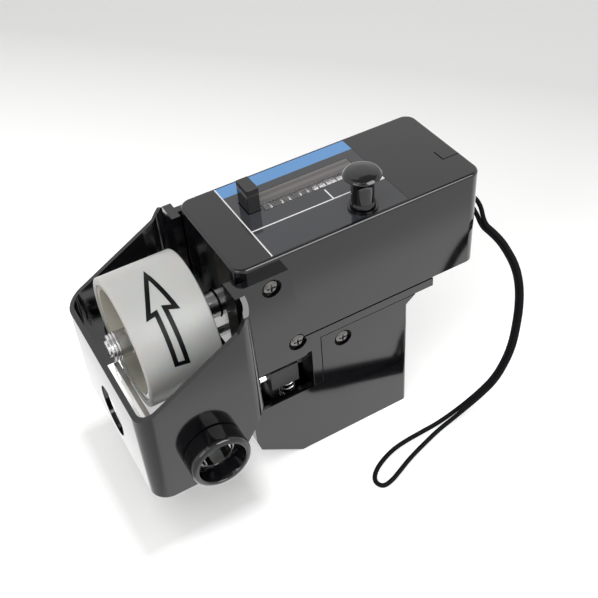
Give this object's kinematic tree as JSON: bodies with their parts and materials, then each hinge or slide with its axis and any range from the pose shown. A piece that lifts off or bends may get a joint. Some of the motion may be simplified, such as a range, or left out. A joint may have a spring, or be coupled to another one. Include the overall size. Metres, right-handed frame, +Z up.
{
  "type": "cable length counter",
  "caption": "Hand-held counter that measures cable drawn under a tyred wheel; a pull knob opens its press rollers, a button clears the drums, and a wrist cord hangs behind.",
  "frame": {"origin": "on the surface it stands on, under the middle of its length and width", "axes": "+X from the measuring wheel to the wrist cord, +Z up, cable along Y"},
  "size_m": [0.2035, 0.1323, 0.1558],
  "materials": {
    "black_plastic": "polished moulding",
    "black_bush": "turned and polished",
    "black_knob": "satin",
    "chrome_screw": "bright",
    "label_print": "printed satin",
    "clear_window": "clear",
    "zinc_plate": "zinc plated sheet",
    "ground_steel": "ground",
    "chrome_bar": "polished",
    "cord_black": "braided",
    "tyre_clear": "translucent, satin",
    "wheel_cream": "moulded",
    "gear_white": "moulded",
    "bearing_bronze": "sintered",
    "drum_black": "printed satin",
    "drum_white": "printed satin",
    "spring_steel": "drawn wire",
    "carriage_alloy": "die cast"
  },
  "bodies": {
    "frame": {"wheel_guard": "black_plastic", "guard_screws": "chrome_screw", "guide_bush_right": "black_bush", "guide_bush_left": "black_bush", "bush_nuts": "black_bush", "bush_liners": "chrome_bar", "housing_cover": "black_plastic", "label_plate": "label_print", "counter_window": "clear_window", "chassis_plate": "zinc_plate", "strap_pin": "ground_steel", "strap_knot": "cord_black", "strap_cord": "cord_black", "frame_saddle": "black_plastic", "grip_body": "black_plastic", "grip_screws": "chrome_screw", "bearing_bracket": "zinc_plate", "shaft_bearings": "bearing_bronze", "counter_frame": "zinc_plate", "counter_shaft": "ground_steel", "transfer_shaft": "ground_steel", "knob_collar": "chrome_screw", "rocker_pivot_pin": "ground_steel", "rocker_clip": "ground_steel", "guide_posts": "chrome_bar"},
    "wheel": {"wheel_tyre": "tyre_clear", "wheel_disc": "wheel_cream", "wheel_shaft": "chrome_bar", "shaft_collars": "chrome_bar", "shaft_clips": "chrome_bar", "wheel_gear": "gear_white"},
    "lay": {"lay_shaft": "ground_steel", "lay_gear_front": "gear_white", "lay_gear_rear": "gear_white"},
    "knob": {"pull_knob": "black_knob", "plunger_rod": "ground_steel", "plunger_dowel": "ground_steel"},
    "rocker": {"rocker": "zinc_plate"},
    "carriage": {"press_carriage": "carriage_alloy", "carriage_dowel": "ground_steel", "roller_axle_right": "chrome_bar", "roller_axle_left": "chrome_bar", "roller_tie": "zinc_plate", "press_springs": "spring_steel"},
    "roller_right": {"press_roller_right": "chrome_bar"},
    "roller_left": {"press_roller_left": "chrome_bar"},
    "button": {"reset_button": "black_knob", "reset_spring": "spring_steel"},
    "comb": {"reset_comb": "zinc_plate"},
    "drum_1": {"number_drum_1": "drum_black"},
    "drum_2": {"number_drum_2": "drum_black"},
    "drum_3": {"number_drum_3": "drum_black"},
    "drum_4": {"number_drum_4": "drum_white"},
    "drum_5": {"number_drum_5": "drum_white", "counter_pinion": "gear_white"},
    "transfer_1": {"transfer_pinion_1": "gear_white"},
    "transfer_2": {"transfer_pinion_2": "gear_white"},
    "transfer_3": {"transfer_pinion_3": "gear_white"},
    "transfer_4": {"transfer_pinion_4": "gear_white"}
  },
  "joints": [
    {"name": "wheel_spin", "type": "hinge", "parent": "frame", "child": "wheel", "pos_m": [-0.0635, 0, 0.0956], "axis": [1, 0, 0], "continuous": true},
    {"name": "lay_spin", "type": "hinge", "parent": "frame", "child": "lay", "pos_m": [0.0107, 0.01321, 0.10463], "axis": [1, 0, 0], "continuous": true},
    {"name": "drum_5_turn", "type": "hinge", "parent": "frame", "child": "drum_5", "pos_m": [0.03988, 0.008, 0.1206], "axis": [1, 0, 0], "continuous": true},
    {"name": "drum_4_turn", "type": "hinge", "parent": "frame", "child": "drum_4", "pos_m": [0.03012, 0.008, 0.1206], "axis": [1, 0, 0], "continuous": true},
    {"name": "drum_3_turn", "type": "hinge", "parent": "frame", "child": "drum_3", "pos_m": [0.02038, 0.008, 0.1206], "axis": [1, 0, 0], "continuous": true},
    {"name": "drum_2_turn", "type": "hinge", "parent": "frame", "child": "drum_2", "pos_m": [0.01063, 0.008, 0.1206], "axis": [1, 0, 0], "continuous": true},
    {"name": "drum_1_turn", "type": "hinge", "parent": "frame", "child": "drum_1", "pos_m": [0.00088, 0.008, 0.1206], "axis": [1, 0, 0], "continuous": true},
    {"name": "transfer_4_turn", "type": "hinge", "parent": "frame", "child": "transfer_4", "pos_m": [0.035, -0.00488, 0.11158], "axis": [1, 0, 0], "continuous": true},
    {"name": "transfer_3_turn", "type": "hinge", "parent": "frame", "child": "transfer_3", "pos_m": [0.02525, -0.00488, 0.11158], "axis": [1, 0, 0], "continuous": true},
    {"name": "transfer_2_turn", "type": "hinge", "parent": "frame", "child": "transfer_2", "pos_m": [0.0155, -0.00488, 0.11158], "axis": [1, 0, 0], "continuous": true},
    {"name": "transfer_1_turn", "type": "hinge", "parent": "frame", "child": "transfer_1", "pos_m": [0.00575, -0.00488, 0.11158], "axis": [1, 0, 0], "continuous": true},
    {"name": "knob_pull", "type": "slide", "parent": "frame", "child": "knob", "axis": [0, 0, 1], "range_m": [0, 0.011], "stiffness_N_per_m": 400, "springref_m": -0.006},
    {"name": "rocker_tilt", "type": "hinge", "parent": "frame", "child": "rocker", "pos_m": [0.0154, -0.016, 0.05007], "axis": [0, -1, 0], "range_deg": [0, 31.6]},
    {"name": "carriage_drop", "type": "slide", "parent": "frame", "child": "carriage", "axis": [0, 0, -1], "range_m": [0, 0.011], "deforming": ["press_springs"]},
    {"name": "roller_right_spin", "type": "hinge", "parent": "carriage", "child": "roller_right", "pos_m": [-0.0635, -0.02, 0.05557], "axis": [1, 0, 0], "continuous": true},
    {"name": "roller_left_spin", "type": "hinge", "parent": "carriage", "child": "roller_left", "pos_m": [-0.0635, 0.02, 0.05557], "axis": [1, 0, 0], "continuous": true},
    {"name": "button_press", "type": "slide", "parent": "frame", "child": "button", "axis": [0, 0, -1], "range_m": [0, 0.004], "stiffness_N_per_m": 400, "springref_m": -0.002, "deforming": ["reset_spring"]},
    {"name": "comb_tilt", "type": "hinge", "parent": "frame", "child": "comb", "pos_m": [0.0193, 0.024, 0.1116], "axis": [1, 0, 0], "range_deg": [0, 16]}
  ],
  "couplings": [
    {"joint": "lay_spin", "follows": "wheel_spin", "ratio": -1.5},
    {"joint": "drum_5_turn", "follows": "wheel_spin", "ratio": 2},
    {"joint": "drum_4_turn", "follows": "wheel_spin", "ratio": 0.2},
    {"joint": "drum_3_turn", "follows": "wheel_spin", "ratio": 0.02},
    {"joint": "drum_2_turn", "follows": "wheel_spin", "ratio": 0.002},
    {"joint": "drum_1_turn", "follows": "wheel_spin", "ratio": 0.0002},
    {"joint": "transfer_4_turn", "follows": "wheel_spin", "ratio": -0.5},
    {"joint": "transfer_3_turn", "follows": "wheel_spin", "ratio": -0.05},
    {"joint": "transfer_2_turn", "follows": "wheel_spin", "ratio": -0.005},
    {"joint": "transfer_1_turn", "follows": "wheel_spin", "ratio": -0.0005},
    {"joint": "rocker_tilt", "follows": "knob_pull", "rad_per_m": 49.985},
    {"joint": "carriage_drop", "follows": "knob_pull", "ratio": 1},
    {"joint": "comb_tilt", "follows": "button_press", "rad_per_m": 69.8}
  ]
}
